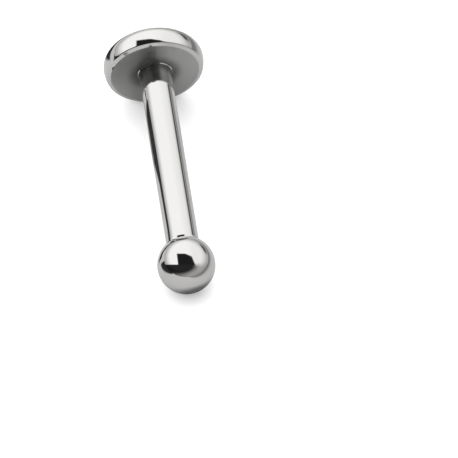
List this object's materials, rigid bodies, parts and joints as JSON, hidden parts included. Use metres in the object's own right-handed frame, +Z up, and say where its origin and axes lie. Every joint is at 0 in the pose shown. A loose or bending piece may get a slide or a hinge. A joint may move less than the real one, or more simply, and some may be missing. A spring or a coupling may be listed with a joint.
{
  "type": "labret stud",
  "caption": "Labret stud: a round disc with a domed back on a straight post, closed by a ball whose threaded pin screws into the post's end.",
  "frame": {"origin": "on the surface that the stud lies on, under the middle of its bounding box", "axes": "+Z up from that surface, -Y towards the ball and +Y towards the disc, +X across the stud; the post's axis slopes down towards the ball by about 5 degrees"},
  "size_m": [0.005, 0.0148, 0.005],
  "materials": {
    "disc_steel": "polished rim, fine-turned inner face",
    "post_steel": "mirror polished",
    "ball_steel": "mirror polished",
    "pin_steel": "as cut"
  },
  "bodies": {
    "stem": {"disc": "disc_steel", "post": "post_steel"},
    "ball_end": {"ball": "ball_steel", "threaded_pin": "pin_steel"}
  },
  "joints": [
    {"name": "ball_unscrew", "type": "slide", "parent": "stem", "child": "ball_end", "axis": [0, -0.9963, -0.0864], "range_m": [0, 0.012]}
  ]
}
